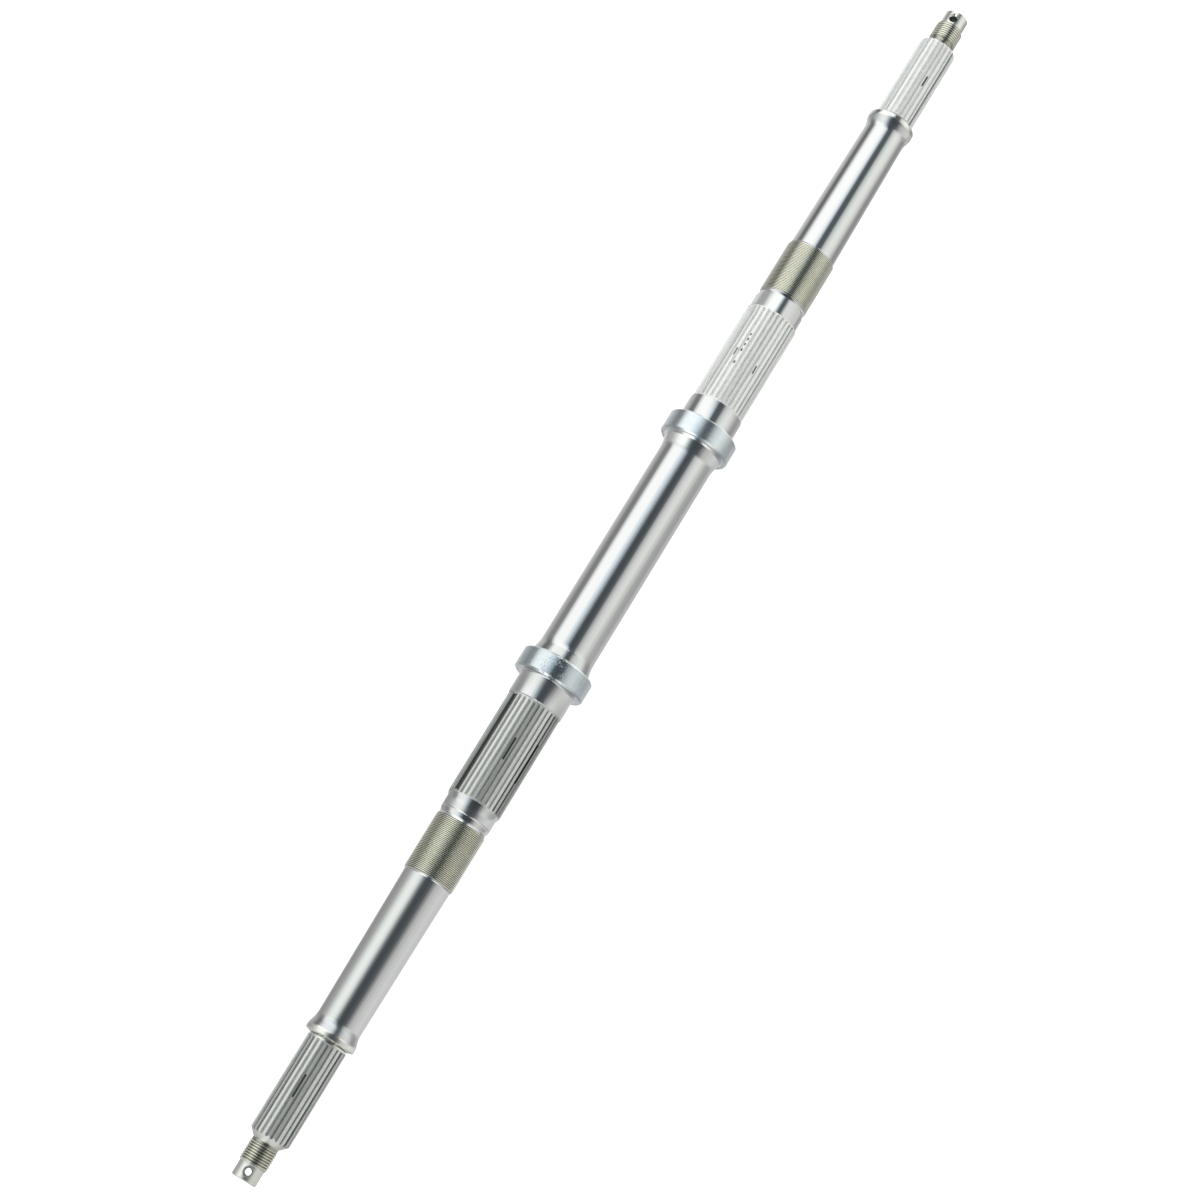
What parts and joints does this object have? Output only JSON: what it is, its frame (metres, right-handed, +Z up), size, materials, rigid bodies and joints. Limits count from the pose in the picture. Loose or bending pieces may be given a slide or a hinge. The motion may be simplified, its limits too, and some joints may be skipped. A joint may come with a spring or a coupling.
{
  "type": "splined shaft",
  "caption": "Splined axle shaft: a straight turned steel bar with twin collars, bearing seats, rolled splines, threaded ends and cross-drilled tips",
  "frame": {"origin": "the middle of the shaft, on its axis, halfway between the two tips", "axes": "+X runs along the shaft to the right tip; +Z points up, along the left cotter hole; +Y is across the shaft"},
  "size_m": [0.8348, 0.0452, 0.0452],
  "materials": {
    "steel": "turned and ground steel; bright ground tube and splines, satin threads, thin bluish-white zinc on the collars and tips"
  },
  "bodies": {
    "root": {"splined_shaft": "steel"}
  },
  "joints": []
}
